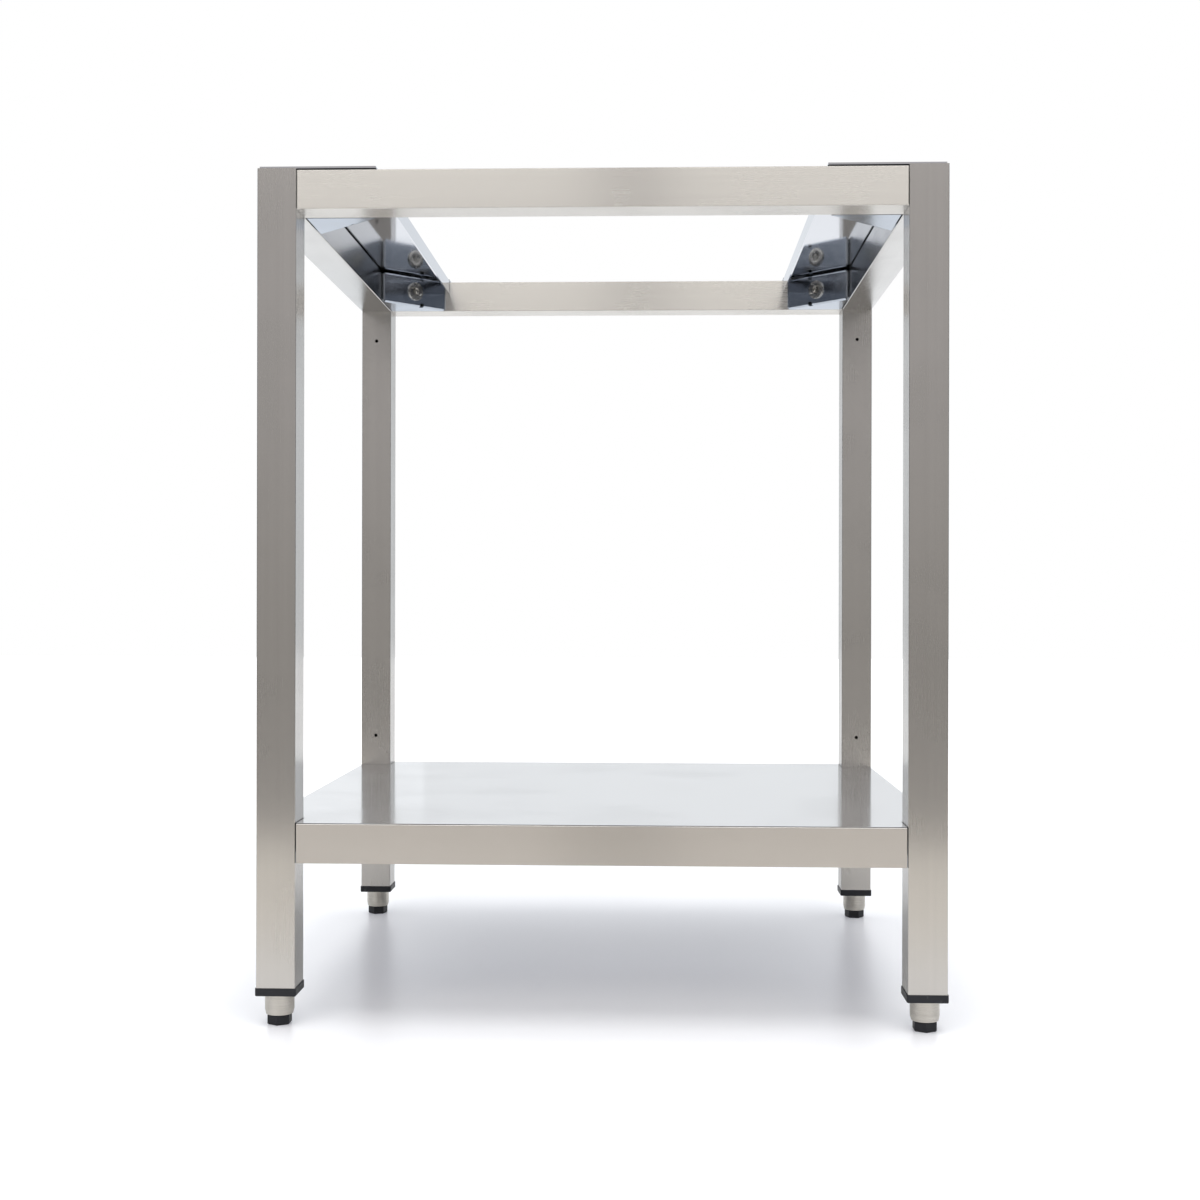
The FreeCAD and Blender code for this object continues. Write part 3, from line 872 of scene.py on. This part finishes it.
def screw_shank(tree, given, steps):
    """Core with a helical ridge along its whole length."""
    pitch = given["Thread Pitch"]
    root = minus(tree, given["Shank Radius"], given["Thread Depth"])
    length = minus(tree, given["Head Bottom"], given["Shank End"])
    core = cylinder(tree, SHANK_STEPS, root, length)
    core = raised(tree, core, halfway(tree, given["Head Bottom"], given["Shank End"]))
    run = minus(tree, length, pitch)
    helix = shaped(
        tree, "CurveSpiral",
        {"Resolution": steps, "Rotations": calculate(tree, "DIVIDE", run, pitch),
         "Start Radius": root, "End Radius": root, "Height": run}, "Curve",
    )
    helix = shaped(tree, "SetCurveNormal", {"Curve": helix}, "Curve", mode="Z_UP")
    helix = raised(tree, helix, plus(tree, given["Shank End"], times(tree, pitch, 0.5)))
    ridge = shaped(
        tree, "CurvePrimitiveQuadrilateral",
        {"Bottom Width": times(tree, pitch, RIDGE_FOOT), "Top Width": times(tree, pitch, RIDGE_TOP),
         "Offset": 0.0, "Height": times(tree, given["Thread Depth"], 2.0)}, "Curve", mode="TRAPEZOID",
    )
    ridge = shaped(tree, "Transform", {"Geometry": ridge, "Rotation": (0, 0, -math.pi / 2)}, "Geometry")
    thread = {"Curve": helix, "Profile Curve": ridge, "Fill Caps": True}
    return core, shaped(tree, "CurveToMesh", thread, "Mesh")


def screw_tree(material, steps, knurls):
    """Socket head screw."""
    tree, given, made = growth_tree(
        "socket screw", "Head Radius", "Head Bottom", "Head Top", "Head Edge", "Knurl Depth", "Socket Radius",
        "Socket Floor", "Shank Radius", "Shank End", "Thread Pitch", "Thread Depth",
    )
    joined = new_node(tree, "GeometryNodeJoinGeometry")
    for part in (screw_head(tree, given, knurls), *screw_shank(tree, given, steps)):
        tree.links.new(part, joined.inputs[0])
    set_on_places(tree, given, made, joined.outputs[0], material)
    return tree


def grown(name, lines, tree, sizes):
    """Plain mesh piece grown by a geometry tree on the screw lines of the corners."""
    seed = bpy.data.meshes.new(name)
    seed.from_pydata([middle for middle, axis in lines], [], [])
    directions = seed.attributes.new("axis", "FLOAT_VECTOR", "POINT")
    for item, (middle, axis) in zip(directions.data, lines):
        item.vector = axis
    piece = bpy.data.objects.new(name, seed)
    bpy.context.scene.collection.objects.link(piece)
    growth = piece.modifiers.new("growth", "NODES")
    growth.node_group = tree
    for item in tree.interface.items_tree:
        if item.in_out == "INPUT" and item.name in sizes:
            growth[item.identifier] = sizes[item.name]
    graph = bpy.context.evaluated_depsgraph_get()
    finished = bpy.data.meshes.new_from_object(piece.evaluated_get(graph), depsgraph=graph)
    piece.modifiers.remove(growth)
    piece.data = finished
    finished.shade_smooth()
    finished.set_sharp_from_angle(angle=SHARP_ANGLE)
    if not finished.polygons:
        raise RuntimeError(name + " came out empty")
    return piece


def mounted(piece, node):
    """Piece that stands for a fastener node of the frame."""
    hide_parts(node)
    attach(piece, "frame")


# Studio


def flat_panel(name, corners, material):
    """Four-sided panel of the studio."""
    mesh = bpy.data.meshes.new(name)
    mesh.from_pydata(corners, [], [(0, 1, 2, 3)])
    mesh.materials.append(material)
    panel = bpy.data.objects.new(name, mesh)
    bpy.context.scene.collection.objects.link(panel)
    return panel


def standing_panel(name, material, start, end, low, high):
    """Upright panel over a line on the floor, seen only in reflections."""
    corners = [(*start, low), (*end, low), (*end, high), (*start, high)]
    flat_panel(name, corners, material).visible_camera = False


def floor_finish():
    """Pale floor with a faint sheen, white far off, with painted shade in front and toned behind for the
    steel.
    """
    studio = bpy.context.scene.stand_studio
    material, tree, shader, coordinates = new_material("pale studio floor")
    mottle = mottle_on(tree, coordinates, grain=0.004, cloud=0.6)
    depth = split(tree, coordinates)[Y]
    path = new_node(tree, "ShaderNodeLightPath").outputs
    sight = path["Is Camera Ray"]
    base = shaded(tree, mottle["Cloud"], studio.floor_tone, dark=0.99, light=1.0)
    # Painted shade on the floor towards the camera, for all but camera rays
    front = times(tree, ranged(tree, depth, *FRONT_SHADE_ZONE, 1.0, 0.0), minus(tree, 1.0, sight))
    base = toned(tree, front, base, colour(studio.front_floor_tone))
    glow = toned(tree, sight, colour(studio.bounce_glow), colour(studio.near_glow))
    behind = times(tree, ranged(tree, depth, *REAR_ZONE), path["Is Glossy Ray"])
    base = toned(tree, behind, base, BLACK)
    glow = toned(tree, behind, glow, colour(studio.far_glow))
    away = worked_out(tree, "ShaderNodeVectorMath", "LENGTH", [coordinates])["Value"]
    white = times(tree, ranged(tree, away, *WHITE_RING), sight)
    base = toned(tree, white, base, BLACK)
    glow = toned(tree, white, glow, WHITE)
    feed_all(tree, shader, base_color=base, emission_color=glow, emission_strength=1.0)
    roughened(tree, shader, mottle["Height"], NOISE_CORE, 0.28, 0.32)
    return material


def glowing(name, tone, strength=1.0, upper_tone=None):
    """Light of a studio panel, changing to another tone higher up."""
    material, tree = empty_material(name)
    glow = new_node(tree, "ShaderNodeEmission")
    high = ranged(tree, split(tree, object_place(tree))[Z], *CARD_FADE)
    light = toned(tree, high, colour(tone), colour(upper_tone or tone))
    feed_all(tree, glow, color=light, strength=strength)
    shown(tree, glow)
    return material


# Operators


class STAND_OT_legs(bpy.types.Operator):
    """Brushed finish of the four legs"""

    bl_idname = "stand.legs"
    bl_label = "Legs"

    def execute(self, context):
        finish_nodes(leg_finish(), *at_corners("leg"))
        return {"FINISHED"}


class STAND_OT_rails(bpy.types.Operator):
    """Brushed finish of the top rails"""

    bl_idname = "stand.rails"
    bl_label = "Rails"

    def execute(self, context):
        # Both rails share one rail tone; their glance values differ as painted light: the side rails' lower
        # glance darkens their glancing reflections, the cross rails' higher one brightens them
        cross = rail_finish(
            "brushed cross rail steel", "front_rail", along=X, centre=(0.0, LEG_AXIS.y, RAIL_LEVEL),
            roughness=0.24, glance=1.05,
        )
        side = rail_finish(
            "brushed side rail steel", "left_rail", along=Y, centre=(LEG_AXIS.x, 0.0, RAIL_LEVEL),
            roughness=0.18, glance=0.84,
        )
        finish_nodes(cross, "front_rail", "rear_rail")
        finish_nodes(side, "left_rail", "right_rail")
        return {"FINISHED"}


class STAND_OT_plates(bpy.types.Operator):
    """Bright finish of the top plates"""

    bl_idname = "stand.plates"
    bl_label = "Top Plates"

    def execute(self, context):
        finish_nodes(plate_finish(), "left_top_plate", "right_top_plate")
        return {"FINISHED"}


class STAND_OT_shelf(bpy.types.Operator):
    """Finish of the lower shelf"""

    bl_idname = "stand.shelf"
    bl_label = "Shelf"

    def execute(self, context):
        finish_nodes(shelf_finish(), "shelf")
        return {"FINISHED"}


class STAND_OT_braces(bpy.types.Operator):
    """Finish of the corner braces and the stiffener under the shelf"""

    bl_idname = "stand.braces"
    bl_label = "Braces"

    def execute(self, context):
        finish_nodes(brace_finish(), "shelf_stiffener", *at_corners("top_brace"), *at_corners("shelf_brace"))
        return {"FINISHED"}


class STAND_OT_fasteners(bpy.types.Operator):
    """Socket screws and washers on the braces, and finish of the hidden threaded pieces"""

    bl_idname = "stand.fasteners"
    bl_label = "Fasteners"

    def execute(self, context):
        fasteners = context.scene.stand_fasteners
        material = fastener_finish()
        washer = washer_tree(material)
        screw = screw_tree(material, fasteners.thread_steps, fasteners.knurl_count)
        for place in ("top", "shelf"):
            lines = [screw_line(place, corner) for corner in CORNERS]
            sizes = washer_sizes(place, lines[0], fasteners.washer_edge)
            mounted(grown("rounded_" + place + "_washers", lines, washer, sizes), place + "_washers")
            sizes = screw_sizes(place, lines[0], sizes["Thickness"] / 2, fasteners)
            mounted(grown("threaded_" + place + "_screws", lines, screw, sizes), place + "_screws")
        hidden = ("thread_inserts", "top_anchor_blocks", "shelf_anchor_blocks")
        finish_nodes(material, *hidden, *at_corners("foot_stem"))
        return {"FINISHED"}


class STAND_OT_feet(bpy.types.Operator):
    """Finishes of the leg plugs and levelling feet"""

    bl_idname = "stand.feet"
    bl_label = "Feet"

    def execute(self, context):
        finish_nodes(plastic_finish(), *at_corners("leg_plug"), *at_corners("foot_pad"))
        finish_nodes(sleeve_finish(), *at_corners("foot_sleeve"))
        return {"FINISHED"}


class STAND_OT_studio(bpy.types.Operator):
    """Floor, cards, light and camera"""

    bl_idname = "stand.studio"
    bl_label = "Studio"

    def execute(self, context):
        studio = context.scene.stand_studio
        self.add_floor(studio)
        self.add_cards(studio)
        self.add_softboxes(studio)
        self.add_light(context.scene, studio)
        self.add_camera(context.scene, studio)
        context.scene.view_settings.view_transform = "Standard"
        return {"FINISHED"}

    def add_floor(self, studio):
        side = FAR_AWAY
        front = studio.floor_front
        corners = [(-side, front, 0), (side, front, 0), (side, side, 0), (-side, side, 0)]
        flat_panel("floor", corners, floor_finish())

    def add_cards(self, studio):
        grey = glowing("grey studio card", studio.card_tone, upper_tone=studio.card_upper_tone)
        dark = glowing("dark side card", studio.side_tone)
        front = -studio.card_distance
        side = studio.side_distance
        end = studio.side_end
        top = studio.card_top
        standing_panel("camera_stand", glowing("camera stand", studio.stand_tone), **CAMERA_STAND)
        standing_panel("front_card", grey, (-side, front), (side, front), CARD_FOOT, top)
        standing_panel("left_card", dark, (-side, front), (-side, end), SIDE_FOOT, studio.side_top)
        standing_panel("right_card", dark, (side, front), (side, end), SIDE_FOOT, studio.side_top)
        ceiling = [(-side, front, top), (side, front, top), (side, 0, top), (-side, 0, top)]
        flat_panel("ceiling_card", ceiling, grey).visible_camera = False

    def add_softboxes(self, studio):
        soft = glowing("front softbox", studio.softbox_tone, studio.softbox_glow)
        front = SOFTBOX_STEP - studio.card_distance
        side = studio.side_distance
        left = studio.softbox_middle - studio.softbox_gap / 2
        right = studio.softbox_middle + studio.softbox_gap / 2
        levels = (studio.softbox_low, studio.softbox_high)
        standing_panel("left_softbox", soft, (-side, front), (left, front), *levels)
        standing_panel("right_softbox", soft, (right, front), (side, front), *levels)
        rear = glowing("rear softbox", studio.sky_tone, studio.rear_glow)
        standing_panel("rear_softbox", rear, **REAR_SOFTBOX)

    def add_light(self, scene, studio):
        scene.world = bpy.data.worlds.new("white studio")
        scene.world.use_nodes = True
        tree = scene.world.node_tree
        sight = new_node(tree, "ShaderNodeLightPath").outputs["Is Camera Ray"]
        tone = toned(tree, sight, colour(studio.sky_tone), WHITE)
        feed(tree, tree.nodes["Background"].inputs["Color"], tone)
        lamp = bpy.data.lights.new("overhead softbox", "AREA")
        lamp.size = studio.key_size
        lamp.energy = studio.key_power
        softbox = bpy.data.objects.new("overhead softbox", lamp)
        softbox.location = studio.key_place
        softbox.visible_glossy = False
        scene.collection.objects.link(softbox)

    def add_camera(self, scene, studio):
        lens = bpy.data.cameras.new("front camera")
        lens.lens = studio.camera_lens
        camera = bpy.data.objects.new("front camera", lens)
        camera.location = studio.camera_place
        camera.rotation_euler = studio.camera_turn
        scene.collection.objects.link(camera)
        scene.camera = camera


class STAND_PT_panel(bpy.types.Panel):
    """Lists the steps that dress the stand"""

    bl_idname = "STAND_PT_panel"
    bl_label = "Steamer Stand"
    bl_space_type = "VIEW_3D"
    bl_region_type = "UI"
    bl_category = "Stand"

    def draw(self, context):
        for step in STEPS:
            self.layout.operator(step.bl_idname)


GROUPS = {
    "stand_steel": StandSteel,
    "stand_fasteners": StandFasteners,
    "stand_feet": StandFeet,
    "stand_studio": StandStudio,
}
STEPS = (
    STAND_OT_legs,
    STAND_OT_rails,
    STAND_OT_plates,
    STAND_OT_shelf,
    STAND_OT_braces,
    STAND_OT_fasteners,
    STAND_OT_feet,
    STAND_OT_studio,
)


def register():
    for name, group in GROUPS.items():
        bpy.utils.register_class(group)
        setattr(bpy.types.Scene, name, PointerProperty(type=group))
    for step in STEPS:
        bpy.utils.register_class(step)
    bpy.utils.register_class(STAND_PT_panel)


def unregister():
    bpy.utils.unregister_class(STAND_PT_panel)
    for step in reversed(STEPS):
        bpy.utils.unregister_class(step)
    for name, group in reversed(GROUPS.items()):
        delattr(bpy.types.Scene, name)
        bpy.utils.unregister_class(group)


def main():
    register()
    bpy.ops.stand.legs()
    bpy.ops.stand.rails()
    bpy.ops.stand.plates()
    bpy.ops.stand.shelf()
    bpy.ops.stand.braces()
    bpy.ops.stand.fasteners()
    bpy.ops.stand.feet()
    bpy.ops.stand.studio()


if __name__ == "__main__":
    main()
